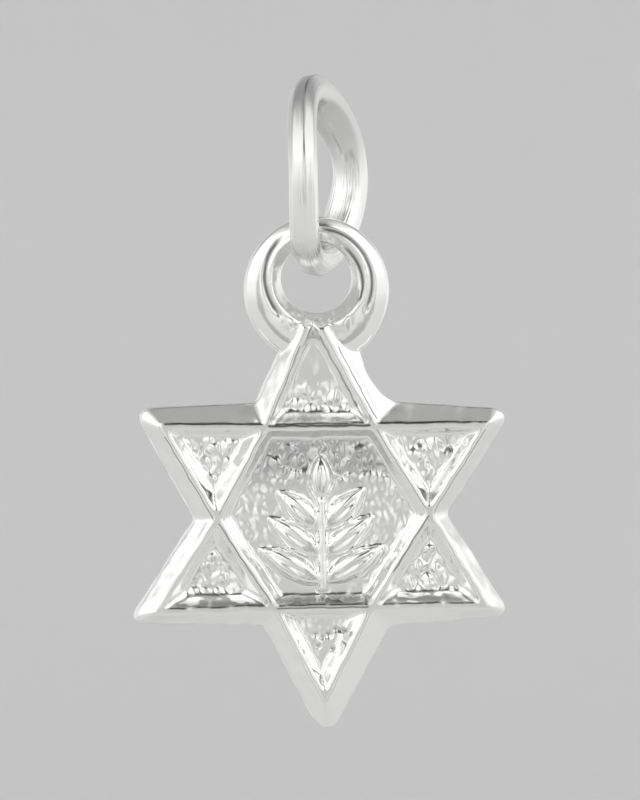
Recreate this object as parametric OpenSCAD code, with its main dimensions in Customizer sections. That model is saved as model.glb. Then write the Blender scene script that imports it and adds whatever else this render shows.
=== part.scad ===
// Cast six-pointed star charm hanging from a loose round wire bail.
// X runs across the star, -Y is its front, Z is up. The origin is the seat of the chain, at the bail's inner top.

/* [Star] */
// Reach of the star's points from its centre, before they are rounded
star_reach = 8.45; // [7.6:0.05:11]
// Thickness of the star from the crest of its bars to its back
star_t = 1.5; // [1.3:0.05:2.4]
// Distance from the outline of an even star in to the middle of its bars
bar_in = 0.67; // [0.6:0.01:0.8]
// Width of the flat along the top of each bar
crest_w = 0.24; // [0.15:0.01:0.3]
// Depth of the outer bevel below the crest
bevel_d = 0.6; // [0.4:0.05:0.8]
// Width of the slope from the crest in to a recess
wall_w = 0.34; // [0.2:0.01:0.4]
// Depth of the recesses below the crest
recess_d = 0.45; // [0.3:0.05:0.7]
// Radius that rounds the five free points
tip_r = 0.46; // [0.2:0.02:0.6]
// Radius that fills the notches between the points
notch_r = 0.3; // [0.15:0.05:0.5]

/* [Sprig] */
// Height of the leafy sprig in the middle
sprig_h = 5.3; // [4:0.1:5.5]
// Number of leaf pairs on its stem
leaf_pairs = 3; // [2:1:4]
// Length of the lowest leaves
leaf_l = 2.8; // [1.6:0.1:3]
// Width of a leaf
leaf_w = 0.6; // [0.4:0.02:0.8]
// Thickness of the stem
stem_w = 0.3; // [0.2:0.02:0.4]
// Height of the sprig above the floor of the recess
sprig_out = 0.3; // [0.15:0.01:0.4]
// Lean of the lowest leaves from the stem, in degrees
leaf_lean = 60; // [40:1:66]

/* [Ring] */
// Outer radius of the ring cast onto the top point
ring_r = 2.82; // [2.5:0.02:3.4]
// Thickness of the ring from front to back
ring_t = 1.32; // [1.1:0.02:1.5]
// Radius of the hole at its narrowest
hole_r = 1.37; // [1.2:0.01:1.6]
// Widening of the hole towards each face
flare_w = 0.5; // [0.3:0.02:0.6]
// Wall left above the hole
ring_top_w = 0.98; // [0.9:0.02:1.2]
// Radius that rounds the ring's rim
rim_r = 0.54; // [0.3:0.02:0.55]
// Distance from the hole down to where the crests of the top point meet
tip_land = 0.5; // [0.4:0.02:0.8]

/* [Bail] */
// Outer height of the bail
bail_h = 7.7; // [7:0.1:10]
// Outer depth of the bail, in its own plane
bail_d = 7.6; // [7:0.1:10]
// Thickness of its wire at the top and the bottom
wire_d = 1.2; // [1:0.02:1.4]
// How much thicker the back strand is than the front one
wire_swell = 0.18; // [0:0.02:0.3]
// Sideways bow of its two strands at mid height
bail_bow = 0.54; // [0:0.02:0.8]
// Turn of the bail about the upright, from facing square across the star
bail_turn = 24; // [0:1:30]
// Play between the wire and the hole that hangs on it
play = 0.1; // [0.06:0.01:0.2]

/* [Hidden] */
$fn = 96;

// A star has twelve corners: points at odd steps of 30 degrees and notches at even ones
corners = 12;
step_deg = 360 / corners;
// How the casting departs from an even star, corner by corner from the right notch, anticlockwise
OUTLINE = 0;      // column: reach of the outline, as a share of the even star's
OUTLINE_TURN = 1; // column: turn of the outline's corner about the centre, in degrees
CREST = 2;        // column: reach of the crest line, as a share of the even star's
CREST_TURN = 3;   // column: turn of the crest line's corner about the centre, in degrees
cast_star = [
    [1.00, 0, 1.01, 0.3],
    [1.01, -2.4, 1.02, -1.8],
    [1.06, -2.0, 0.98, -0.6],
    [1.10, 0.7, 1.03, 0],
    [1.03, -1.6, 1.00, 1.4],
    [0.99, -0.9, 1.00, -0.5],
    [0.99, 0, 1.00, -0.4],
    [1.00, -2.4, 1.03, -1.9],
    [0.97, 1.7, 0.96, 1.5],
    [1.03, 0.4, 0.99, -0.4],
    [1.03, 1.4, 0.96, -2.5],
    [1.00, 1.3, 1.02, 0.5],
];
top_row = 3;

// The bars' crest line is an even star too, moved in from the outline
crest_reach = star_reach - 2 * bar_in;
notch_share = 1 / sqrt(3);

wire_r = wire_d / 2;
// Centreline of the bail: half its height and half its depth
bail_b = bail_h / 2 - wire_r;
bail_a = bail_d / 2 - wire_r;
pivot_z = wire_r - 2 * bail_b;
hole_z = pivot_z + wire_r + play - hole_r;
ring_z = hole_z + hole_r + ring_top_w - ring_r;
star_z = hole_z - hole_r - tip_land - crest_reach * cast_star[top_row][CREST];

front_y = -star_t / 2;
floor_y = front_y + recess_d;

// Steps of an arc that rounds a corner, and its radius along the crests and round a recess's floor
arc_steps = 5;
crest_tip_r = 0.1;
floor_r = 0.22;
// Rings along the bail's wire, and sides of each
bail_rings = 56;
bail_sides = 16;
// How far a cut runs past the face that it opens, and half the length of the hole's narrowest stretch
cut_over = 0.5;
hole_land = 0.08;

// How far the sprig's foot lies below the star's centre, as a share of its height
sprig_foot = 0.54;
// Heights of its lowest and highest pairs of leaves, as shares of its stem
pair_low = 0.08;
pair_high = 0.65;
// Shares of the lowest leaves: the topmost leaf's length, and what the highest pair loses in length and in lean
top_leaf = 0.7;
pair_shorter = 0.17;
pair_steeper = 0.23;
// Shares of a leaf: the width and length of its flat back, and of the topmost leaf that lies over the stem
back_w = 0.3;
back_l = 0.7;
top_lap = 0.1;
leaf_points = 16;
sprig_sunk = 0.2;

function polar(r, a) = [r * cos(a), r * sin(a)];
function unit(v) = v / norm(v);
function left(v) = [-v.y, v.x];
function spin(v, a) = [v.x * cos(a) - v.y * sin(a), v.x * sin(a) + v.y * cos(a)];
function before(list, i) = list[(i + len(list) - 1) % len(list)];
function after(list, i) = list[(i + 1) % len(list)];
function along(list, i) = unit(after(list, i) - list[i]);
function is_point(k) = k % 2 == 1;

// Corners of the outline or of the crest line, by the columns of the table that are asked for
function star_corners(reach, share_column, turn_column) = [
    for (k = [0 : corners - 1])
        polar(reach * cast_star[k][share_column] * (is_point(k) ? 1 : notch_share),
            k * step_deg + cast_star[k][turn_column])
];

// An outline moved inwards by d, or outwards where d is negative
function inset(list, d) = [
    for (i = [0 : len(list) - 1])
        let (e1 = unit(list[i] - before(list, i)), e2 = along(list, i))
            list[i] + d * (left(e1) + left(e2)) / (1 + e1 * e2)
];

// An outline with each corner replaced by an arc of its own radius
function rounded(list, radii) = [
    for (i = [0 : len(list) - 1])
        let (
            e1 = unit(list[i] - before(list, i)),
            e2 = along(list, i),
            turn = atan2(e1.x * e2.y - e1.y * e2.x, e1 * e2),
            start = list[i] - e1 * radii[i] * tan(abs(turn) / 2),
            mid = start + sign(turn) * radii[i] * left(e1)
        )
            for (s = [0 : arc_steps]) mid + spin(start - mid, turn * s / arc_steps)
];
function star_radii(point_r, notch) = [for (k = [0 : corners - 1]) is_point(k) ? point_r : notch];
function same_radii(list, r) = [for (p = list) r];
function middle(list) = [for (i = [0 : 1]) [for (p = list) p[i]] * [for (p = list) 1 / len(list)]];

// A solid through outlines that lie in planes across Y, from the front one to the back one
module lofted(outlines, depths) {
    n = len(outlines[0]);
    rings = len(outlines);
    points = [
        for (r = [0 : rings - 1]) for (p = outlines[r]) [p.x, depths[r], p.y],
        for (r = [0, rings - 1]) let (m = middle(outlines[r])) [m.x, depths[r], m.y]
    ];
    front_mid = rings * n;
    back_mid = front_mid + 1;
    last = (rings - 1) * n;
    faces = [
        for (i = [0 : n - 1]) let (j = (i + 1) % n) [front_mid, j, i],
        for (r = [0 : rings - 2]) for (i = [0 : n - 1]) let (j = (i + 1) % n)
            [r * n + i, r * n + j, (r + 1) * n + j, (r + 1) * n + i],
        for (i = [0 : n - 1]) let (j = (i + 1) % n) [back_mid, last + i, last + j]
    ];
    polyhedron(points, faces, convexity = 6);
}

outline = star_corners(star_reach, OUTLINE, OUTLINE_TURN);
crest = star_corners(crest_reach, CREST, CREST_TURN);

// The plain star: flat back, upright edge, and a bevel up to the crest
module plate() {
    edge = rounded(outline, star_radii(tip_r, notch_r));
    top = rounded(inset(crest, -crest_w / 2), star_radii(crest_tip_r, crest_tip_r));
    lofted([top, edge, edge], [front_y, front_y + bevel_d, -front_y]);
}

// A recess with sloping walls, inside a stretch of the crest line
module recess(cell) {
    mouth = rounded(inset(cell, crest_w / 2), same_radii(cell, crest_tip_r));
    floor_line = rounded(inset(cell, crest_w / 2 + wall_w), same_radii(cell, floor_r));
    lofted([mouth, mouth, floor_line], [front_y - cut_over, front_y, floor_y]);
}

module recesses() {
    for (k = [1 : 2 : corners - 1]) recess([before(crest, k), crest[k], after(crest, k)]);
    recess([for (k = [0 : 2 : corners - 2]) crest[k]]);
}

// Outline of a pointed leaf whose foot is at the origin, leaning from the upright
function leaf_line(length, width, lean) =
    let (half = leaf_points / 2)
        [for (k = [0 : leaf_points - 1])
            let (side = k < half ? 1 : -1, share = k < half ? k / half : 2 - k / half)
                spin([side * width / 2 * sin(180 * share), length * share], -lean)];

// A leaf with bevelled sides and a narrow flat back, which stands on a floor at depth 0 and is sunk into it
module leaf(length, width, lean) {
    base = leaf_line(length, width, lean);
    lift = polar(length * (1 - back_l) / 2, 90 - lean);
    back = [for (p = leaf_line(length * back_l, width * back_w, lean)) p + lift];
    lofted([back, base, base], [-sprig_out, 0, sprig_sunk]);
}

// The sprig's stem, bevelled from its full width to half of it
module stem(height) {
    lofted([
        for (w = [stem_w / 2, stem_w, stem_w]) [[-w / 2, 0], [w / 2, 0], [w / 2, height], [-w / 2, height]]
    ], [-sprig_out, 0, sprig_sunk]);
}

// A leafy sprig that stands out of the middle recess
module sprig() {
    top_l = top_leaf * leaf_l;
    stem_h = sprig_h - (1 - top_lap) * top_l;
    translate([0, floor_y, -sprig_foot * sprig_h]) {
        stem(stem_h);
        translate([0, 0, sprig_h - top_l]) leaf(top_l, leaf_w, 0);
        for (i = [0 : leaf_pairs - 1]) {
            up = i / (leaf_pairs - 1);
            length = leaf_l * (1 - pair_shorter * up);
            lean = leaf_lean * (1 - pair_steeper * up);
            for (side = [-1, 1]) translate([0, 0, stem_h * (pair_low + (pair_high - pair_low) * up)])
                leaf(length, leaf_w, side * lean);
        }
    }
}

module ring_blank() {
    translate([0, 0, ring_z]) rotate([90, 0, 0]) rotate_extrude() {
        translate([0, -ring_t / 2]) square([ring_r - rim_r, ring_t]);
        for (side = [-1, 1]) translate([ring_r - rim_r, side * (ring_t / 2 - rim_r)])
            intersection() {
                circle(rim_r);
                translate([0, -rim_r]) square([rim_r, 2 * rim_r]);
            }
        translate([0, rim_r - ring_t / 2]) square([ring_r, ring_t - 2 * rim_r]);
    }
}

// The hole narrows to its middle, as the wire has worn and the file has opened it
module hole() {
    cone_h = ring_t / 2 - hole_land;
    grow = flare_w / cone_h;
    deep = cone_h + cut_over;
    translate([0, 0, hole_z]) rotate([90, 0, 0]) {
        cylinder(h = ring_t + 2 * cut_over, r = hole_r, center = true);
        for (side = [0, 180]) rotate([side, 0, 0]) translate([0, 0, hole_land])
            cylinder(h = deep, r1 = hole_r, r2 = hole_r + grow * deep);
    }
}

module star() {
    color("silver") {
        difference() {
            union() {
                translate([0, 0, star_z]) plate();
                ring_blank();
            }
            translate([0, 0, star_z]) recesses();
            hole();
        }
        translate([0, 0, star_z]) sprig();
    }
}

// Centre of the bail's wire, from its top round by its front strand
function wire_at(t) = [bail_a * sin(t), bail_bow * sin(t) * sin(t), wire_r - bail_b * (1 - cos(t))];
function wire_way(t) = unit([bail_a * cos(t), bail_bow * sin(2 * t), -bail_b * sin(t)]);
function wire_radius(t) = wire_r - wire_swell / 4 * sin(t);
function wire_ring(t) =
    let (
        way = wire_way(t),
        across = unit([0, 1, 0] - way.y * way),
        out = cross(across, way)
    )
        [for (s = [0 : bail_sides - 1])
            wire_at(t) + wire_radius(t) * (cos(s * 360 / bail_sides) * across + sin(s * 360 / bail_sides) * out)];

// Local X is the bail's front and local Y its right side
module bail() {
    points = [for (r = [0 : bail_rings - 1]) each wire_ring(r * 360 / bail_rings)];
    faces = [
        for (r = [0 : bail_rings - 1]) for (s = [0 : bail_sides - 1])
            let (r2 = (r + 1) % bail_rings, s2 = (s + 1) % bail_sides)
                [r * bail_sides + s, r * bail_sides + s2, r2 * bail_sides + s2, r2 * bail_sides + s]
    ];
    color("lightgray") rotate([0, 0, -90 - bail_turn]) polyhedron(points, faces, convexity = 4);
}

star();
bail();
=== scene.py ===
# %% [markdown]
# # A cast silver star charm on its bail
#
# The charm is one small silver casting: a six-pointed star with a ring on its top point. A loose round wire
# bail goes through the ring and carries the chain. This lesson dresses both pieces for the camera. The
# solid model of the charm is loaded first, as the frame that everything has to fit. It is in metres, so
# what is given in millimetres is multiplied by MM.

import math

import bmesh
import bpy
import numpy as np
from mathutils import Matrix, Vector


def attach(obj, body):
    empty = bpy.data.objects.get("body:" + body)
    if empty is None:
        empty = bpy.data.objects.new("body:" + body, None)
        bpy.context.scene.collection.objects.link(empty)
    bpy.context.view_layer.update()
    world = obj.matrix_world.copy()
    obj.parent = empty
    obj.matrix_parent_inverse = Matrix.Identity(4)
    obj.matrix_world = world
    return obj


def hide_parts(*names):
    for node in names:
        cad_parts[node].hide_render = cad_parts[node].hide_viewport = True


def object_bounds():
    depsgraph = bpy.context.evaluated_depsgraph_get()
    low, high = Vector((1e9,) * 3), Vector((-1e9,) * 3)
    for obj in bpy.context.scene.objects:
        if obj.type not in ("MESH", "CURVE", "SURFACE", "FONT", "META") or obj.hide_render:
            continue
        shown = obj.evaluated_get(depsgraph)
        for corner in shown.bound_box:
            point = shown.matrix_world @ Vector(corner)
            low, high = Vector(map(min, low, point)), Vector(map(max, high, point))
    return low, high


MM = 0.001

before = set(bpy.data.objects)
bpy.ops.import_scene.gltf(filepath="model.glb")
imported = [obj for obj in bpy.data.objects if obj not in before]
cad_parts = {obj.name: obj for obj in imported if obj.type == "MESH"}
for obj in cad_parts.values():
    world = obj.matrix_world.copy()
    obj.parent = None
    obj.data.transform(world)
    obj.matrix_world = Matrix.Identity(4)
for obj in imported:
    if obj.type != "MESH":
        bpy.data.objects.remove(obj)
cad_low, cad_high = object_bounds()
print("Solid model:", [round((b - a) / MM, 2) for a, b in zip(cad_low, cad_high)], "mm")

# %% [markdown]
# ## The camera
#
# The photograph was taken with a long lens, a little from the star's left and from just above its middle,
# and it leans by a degree. A camera could be turned by three angles, but they are hard to read. Here it is
# placed on a line back from the middle of the charm and turned to look along that line. A camera in Blender
# looks along its own -Z, so a last turn about its Z gives the lean. The shift only centres the charm as the
# photograph does.

# %% Place the camera
CAMERA_TURN = math.radians(-7.0)
CAMERA_RISE = math.radians(2.2)
CAMERA_ROLL = math.radians(1.02)
CAMERA_AWAY = 150 * MM
CAMERA_NEAR, CAMERA_FAR = 10 * MM, 10.0
MM_PER_PIXEL = 0.03852
PICTURE_LONG_SIDE = 800
SENSOR_MM = 36
AIM = Vector((0.0, 0.0, -12.0 * MM))
AIM_FROM_CENTRE = (-1.3, 18.6)  # pixels right of and below the picture's centre

to_camera = Vector((
    math.sin(CAMERA_TURN) * math.cos(CAMERA_RISE),
    -math.cos(CAMERA_TURN) * math.cos(CAMERA_RISE),
    math.sin(CAMERA_RISE),
))
looking = (-to_camera).to_track_quat("-Z", "Y")
rolled = Matrix.Rotation(-CAMERA_ROLL, 3, "Z").to_quaternion()
bpy.ops.object.camera_add(location=AIM + to_camera * CAMERA_AWAY)
camera = bpy.context.object
camera.name = "camera"
camera.rotation_euler = (looking @ rolled).to_euler()
camera.data.lens = SENSOR_MM * CAMERA_AWAY / (MM * MM_PER_PIXEL * PICTURE_LONG_SIDE)
camera.data.sensor_width = SENSOR_MM
camera.data.shift_x = -AIM_FROM_CENTRE[0] / PICTURE_LONG_SIDE
camera.data.shift_y = AIM_FROM_CENTRE[1] / PICTURE_LONG_SIDE
camera.data.clip_start = CAMERA_NEAR
camera.data.clip_end = CAMERA_FAR
bpy.context.scene.camera = camera
print("Lens:", round(camera.data.lens, 1), "mm")

# %% [markdown]
# ## Nodes that read like a sum
#
# The light and the silver are both built from shader nodes. Adding and linking them one line at a time is
# long and hard to follow. So a few helpers add a node, give each of its inputs a plain value or the socket
# that feeds it, and return the socket with the result. A tree of nodes then reads like the sum that it is.

# %% Write the helpers for nodes
def node(tree, kind, place, feeds=None, **settings):
    """Adds a node. Feeds gives inputs their values, or the sockets that feed them."""
    made = tree.nodes.new(kind)
    made.location = place
    for name, value in settings.items():
        setattr(made, name, value)
    for name, value in (feeds or {}).items():
        if isinstance(value, bpy.types.NodeSocket):
            tree.links.new(value, made.inputs[name])
        else:
            made.inputs[name].default_value = value
    return made


def number(tree, place, operation, *values):
    """Works out a number from one or two others."""
    return node(tree, "ShaderNodeMath", place, dict(enumerate(values)), operation=operation).outputs[0]


def vector(tree, place, operation, *values):
    """Works out a vector, or the number that a dot product or a length gives."""
    made = node(tree, "ShaderNodeVectorMath", place, dict(enumerate(values)), operation=operation)
    return made.outputs["Value" if operation in ("DOT_PRODUCT", "LENGTH") else "Vector"]


def scaled(tree, place, first, by):
    """Makes a vector longer or shorter."""
    feeds = {0: first, "Scale": by}
    return node(tree, "ShaderNodeVectorMath", place, feeds, operation="SCALE").outputs["Vector"]


def axes(tree, place, where):
    """The X, Y and Z of a vector, as three sockets."""
    return node(tree, "ShaderNodeSeparateXYZ", place, {0: where}).outputs


def carried(tree, place, value, low, high, start=0.0, end=1.0, shape="SMOOTHSTEP"):
    """Carries a number over from the range low to high to the range start to end."""
    feeds = {"Value": value, "From Min": low, "From Max": high, "To Min": start, "To Max": end}
    return node(tree, "ShaderNodeMapRange", place, feeds, interpolation_type=shape).outputs[0]


def mixed(tree, place, share, first, second, blend="MIX"):
    """Mixes two colours by a share, or multiplies the first by the second."""
    feeds = {"Factor": share, 6: first, 7: second}
    return node(tree, "ShaderNodeMix", place, feeds, data_type="RGBA", blend_type=blend).outputs[2]


def noise(tree, place, where, scale, detail):
    """Noise in space: its Fac is a number, its Color three of them."""
    feeds = {"Vector": where, "Scale": scale, "Detail": detail}
    return node(tree, "ShaderNodeTexNoise", place, feeds).outputs


def ramp(tree, place, value, stops):
    """Reads a shade from a table of places from 0 to 1 and their shades."""
    made = node(tree, "ShaderNodeValToRGB", place, {0: value})
    made.color_ramp.interpolation = "EASE"
    while len(made.color_ramp.elements) < len(stops):
        made.color_ramp.elements.new(0.5)
    for element, (position, shade) in zip(made.color_ramp.elements, stops):
        element.position = position
        element.color = (shade, shade, shade, 1)
    return made.outputs[0]


helpers = (node, number, vector, scaled, axes, carried, mixed, noise, ramp)
print("Helpers:", [helper.__name__ for helper in helpers])

# %% [markdown]
# ## The tent of light
#
# Small silver is photographed inside a white tent, because polished metal has no colour of its own: it
# shows what is round it. A tent of cloth and lamps could be modelled, but a mirror only asks how bright
# each direction is, so here the world itself is the tent. It is white at both sides, pale below where the
# table is, and grey overhead, with a dark gap between the overhead cloth and the front. That gap is what
# draws the thin black lines along the star's crests. A seam in the cloth near the front is a little darker,
# and a card on the right, a little behind the charm, a little brighter.

# %% Say how bright the tent is
# Brightness by the angle from the front up over the top, in degrees: 0 is the camera's side, 90 is overhead
TENT_OVER = [
    (-180, 0.50),
    (-90, 0.67),
    (-35, 0.67),
    (0, 0.58),
    (14, 0.54),
    (26, 0.13),
    (56, 0.07),
    (66, 0.26),
    (76, 0.42),
    (94, 0.42),
    (104, 0.37),
    (112, 0.13),
    (122, 0.14),
    (150, 0.42),
    (180, 0.50),
]
# Brightness of the two sides, and of what is behind the charm, by the angle above the table
TENT_SIDES = [
    (-90, 0.67),
    (-45, 0.70),
    (-15, 0.74),
    (5, 1.00),
    (20, 1.35),
    (46, 1.30),
    (62, 0.78),
    (78, 0.42),
    (90, 0.36),
]
TENT_BEHIND = [(-90, 0.60), (-30, 0.66), (0, 0.86), (22, 0.74), (40, 0.46), (90, 0.38)]
# How much light is left at the seam, from the front of the tent at -1 to its back at 1
TENT_SEAM = [(-1.0, 1.0), (-0.90, 1.0), (-0.86, 0.62), (-0.80, 0.62), (-0.75, 1.0), (1.0, 1.0)]
# The strip with the dark gap runs over the middle, a little to the right because the camera stands to the
# left. It passes into the sides between these two distances off its middle.
STRIP_RIGHT = 0.12
STRIP_EDGE = (0.04, 0.23)
# How far towards the back the sides pass into what is behind
BEHIND_EDGE = (-0.05, 0.40)
# The card: how much it brightens the cloth, and where it fades in to the right, to the back and by height
CARD_SHADE = 1.15
CARD_RIGHT, CARD_BACK, CARD_HEIGHT = (0.25, 0.75), (0.10, 0.45), (0.50, 0.25)
print("Shades run from", min(s for _, s in TENT_OVER), "to", max(s for _, s in TENT_SIDES))

# %% Measure the direction in the tent
world = bpy.data.worlds.new("tent")
bpy.context.scene.world = world
world.use_nodes = True
sky = world.node_tree
sky.nodes.clear()
direction = node(sky, "ShaderNodeTexCoord", (-1400, 0)).outputs["Generated"]
to_right, to_back, to_top = axes(sky, (-1200, 0), direction)

# The two angles, from half a turn back to half a turn on, carried to the 0 to 1 of a ramp
to_front = number(sky, (-1000, 300), "MULTIPLY", to_back, -1)
over = number(sky, (-800, 300), "ARCTAN2", to_top, to_front)
over_share = carried(sky, (-600, 300), over, -math.pi, math.pi, shape="LINEAR")
rise = number(sky, (-800, 0), "ARCSINE", to_top)
rise_share = carried(sky, (-600, 0), rise, -math.pi, math.pi, shape="LINEAR")
print("Nodes that measure:", len(sky.nodes))

# %% Light the tent
def by_angle(table):
    return [((angle + 180) / 360, shade) for angle, shade in table]


sides = ramp(sky, (-400, 0), rise_share, by_angle(TENT_SIDES))
behind = ramp(sky, (-400, -250), rise_share, by_angle(TENT_BEHIND))
is_behind = carried(sky, (-600, -250), to_back, *BEHIND_EDGE)
cloth = mixed(sky, (-100, 0), is_behind, sides, behind)

seam_share = carried(sky, (-600, -500), to_back, -1.0, 1.0, shape="LINEAR")
seam = ramp(sky, (-400, -500), seam_share, [((back + 1) / 2, shade) for back, shade in TENT_SEAM])
cloth = mixed(sky, (100, 0), 1.0, cloth, seam, "MULTIPLY")

card = carried(sky, (-600, -750), to_right, *CARD_RIGHT, 1.0, CARD_SHADE)
card_back = carried(sky, (-600, -1000), to_back, *CARD_BACK)
off_level = number(sky, (-800, -1250), "ABSOLUTE", to_top)
card_height = carried(sky, (-600, -1250), off_level, *CARD_HEIGHT)
card_area = number(sky, (-400, -1100), "MULTIPLY", card_back, card_height)
cloth = mixed(sky, (300, 0), card_area, cloth, card, "MULTIPLY")

strip = ramp(sky, (-400, 300), over_share, by_angle(TENT_OVER))
off_right = number(sky, (-1000, 550), "SUBTRACT", to_right, STRIP_RIGHT)
off_strip = number(sky, (-800, 550), "ABSOLUTE", off_right)
is_side = carried(sky, (-600, 550), off_strip, *STRIP_EDGE)
light = mixed(sky, (500, 100), is_side, strip, cloth)
glow = node(sky, "ShaderNodeBackground", (700, 100), {"Color": light, "Strength": 1.0})
node(sky, "ShaderNodeOutputWorld", (900, 100), {0: glow.outputs[0]})
# The shades are meant as they are, without a film's look over them
bpy.context.scene.view_settings.view_transform = "Standard"
print("Nodes of the tent:", len(sky.nodes))

# %% [markdown]
# ## The table and the backdrop
#
# The charm hangs over a pale table whose far edge sweeps up into the backdrop, so no horizon line shows
# behind it. A bent sheet would serve one camera, but the charm is looked at from all sides. So the profile
# of the sweep is drawn as a few edges and spun into a bowl round the charm. Its matt paper is only there to
# be seen: the metal takes its reflections from the tent.

# %% Sweep the backdrop
TABLE_DROP = 45 * MM
TABLE_HALF = 420 * MM
SWEEP_R = 200 * MM
SWEEP_STEPS = 10
WALL_TOP = 700 * MM
SPIN_STEPS = 72
SAME_PLACE = 1e-5
PAPER_SHADE = (0.72, 0.72, 0.72, 1)
PAPER_ROUGH = 0.9


def clear_selection():
    if bpy.context.object and bpy.context.object.mode != "OBJECT":
        bpy.ops.object.mode_set(mode="OBJECT")
    bpy.ops.object.select_all(action="DESELECT")


def select_only(piece):
    clear_selection()
    piece.select_set(True)
    bpy.context.view_layer.objects.active = piece


def add_mesh(name, points=(), edges=()):
    clear_selection()
    mesh = bpy.data.meshes.new(name)
    mesh.from_pydata(points, edges, [])
    piece = bpy.data.objects.new(name, mesh)
    bpy.context.collection.objects.link(piece)
    select_only(piece)
    return piece


table_z = cad_low.z - TABLE_DROP
profile = [(0, 0, table_z), (TABLE_HALF, 0, table_z)]
for step in range(1, SWEEP_STEPS + 1):
    angle = math.radians(90 * step / SWEEP_STEPS)
    sweep_x = TABLE_HALF + SWEEP_R * math.sin(angle)
    profile.append((sweep_x, 0, table_z + SWEEP_R * (1 - math.cos(angle))))
profile.append((TABLE_HALF + SWEEP_R, 0, WALL_TOP))
backdrop = add_mesh("backdrop", profile, [(i, i + 1) for i in range(len(profile) - 1)])
bpy.ops.object.mode_set(mode="EDIT")
bpy.ops.mesh.select_all(action="SELECT")
bpy.ops.mesh.spin(steps=SPIN_STEPS, angle=math.tau, center=(0, 0, 0), axis=(0, 0, 1), use_auto_merge=True)
bpy.ops.mesh.select_all(action="SELECT")
bpy.ops.mesh.remove_doubles(threshold=SAME_PLACE)
bpy.ops.mesh.normals_make_consistent(inside=True)
bpy.ops.object.mode_set(mode="OBJECT")
bpy.ops.object.shade_smooth()
backdrop.visible_glossy = False
backdrop.visible_shadow = False
paper = bpy.data.materials.new("paper")
paper.use_nodes = True
paper.node_tree.nodes["Principled BSDF"].inputs["Base Color"].default_value = PAPER_SHADE
paper.node_tree.nodes["Principled BSDF"].inputs["Roughness"].default_value = PAPER_ROUGH
backdrop.data.materials.append(paper)
print("Backdrop faces:", len(backdrop.data.polygons))

# %% [markdown]
# ## The star's outline
#
# The charm was cast in a mould that was carved by hand, so no two of its points are quite the same. An even
# star would look like a machined one. So its twelve corners are listed once, as shares of an even star and
# as small turns about its centre: one pair of columns for the edge of the casting and one for the crest of
# its bars. The charm is modelled with one unit to the millimetre, because several of Blender's tools stop
# at a tenth of a millimetre when a unit is a metre. It is scaled down at the end.

# %% List the corners of the casting
STAR_REACH = 8.45
BAR_IN = 0.67
CREST_REACH = STAR_REACH - 2 * BAR_IN
NOTCH_SHARE = 1 / math.sqrt(3)
STAR_MID = -15.763

# Share and turn of the edge, share and turn of the crest, then the radius that rounds each of the two, in mm,
# from the right notch anticlockwise
CASTING = [
    (1.00, 0.0, 1.01, 0.3, 0.30, 0.25),
    (1.01, -2.4, 1.02, -1.8, 0.46, 0.04),
    (1.045, -0.9, 0.98, -0.6, 1.00, 0.10),
    (1.10, 0.7, 1.117, 1.9, 0.46, 0.06),
    (1.03, -1.6, 1.00, 1.4, 0.30, 0.10),
    (0.99, -0.9, 1.00, -0.5, 0.48, 0.12),
    (0.99, 0.0, 1.00, -0.4, 0.30, 0.10),
    (1.00, -2.4, 1.03, -1.9, 0.36, 0.10),
    (0.97, 1.7, 0.96, 1.5, 0.30, 0.10),
    (1.03, 0.4, 0.99, -0.4, 0.52, 0.14),
    (1.03, 1.4, 0.96, -2.5, 0.40, 0.12),
    (1.00, 1.3, 1.02, 0.5, 0.40, 0.08),
]


def star_corners(reach, share_column, turn_column):
    corners = []
    for k, row in enumerate(CASTING):
        away = reach * row[share_column] * (1 if k % 2 else NOTCH_SHARE)
        angle = math.radians(30 * k + row[turn_column])
        corners.append(Vector((away * math.cos(angle), away * math.sin(angle))))
    return corners


edge_line = star_corners(STAR_REACH, 0, 1)
crest_line = star_corners(CREST_REACH, 2, 3)
print("Edge spans", round(max(c.x for c in edge_line) - min(c.x for c in edge_line), 2), "mm")

# %% [markdown]
# ## Lofting through outlines
#
# The star and each of its sunk cells are lofts: two or three outlines at different depths, bridged. An
# extrude with an inset would give every side the same slope, and here each side has its own. An outline
# starts as a circle with one vertex to a corner. The vertices are put in place, and a vertex bevel rounds
# each corner as a file would. Every outline of one loft has the same number of vertices, so the bridge runs
# straight.

# %% Helpers for an outline
CREST_W = 0.24
ROUND_STEPS = 6


def inset_line(line, amounts):
    """Moves each side of an outline inwards by its own amount, and returns the new corners."""
    if isinstance(amounts, float):
        amounts = [amounts] * len(line)
    moved = []
    for i, corner in enumerate(line):
        into = (corner - line[i - 1]).normalized()
        away = (line[(i + 1) % len(line)] - corner).normalized()
        left_of_into, left_of_away = Vector((-into.y, into.x)), Vector((-away.y, away.x))
        shared = left_of_into.dot(left_of_away)
        step = amounts[i - 1] * (left_of_into - shared * left_of_away)
        step += amounts[i] * (left_of_away - shared * left_of_into)
        moved.append(corner + step / (1 - shared * shared))
    return moved


def corner_run(line, i, radius):
    """How far from a corner its rounding starts."""
    into = (line[i] - line[i - 1]).normalized()
    away = (line[(i + 1) % len(line)] - line[i]).normalized()
    return radius * math.tan(into.angle(away) / 2)


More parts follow.
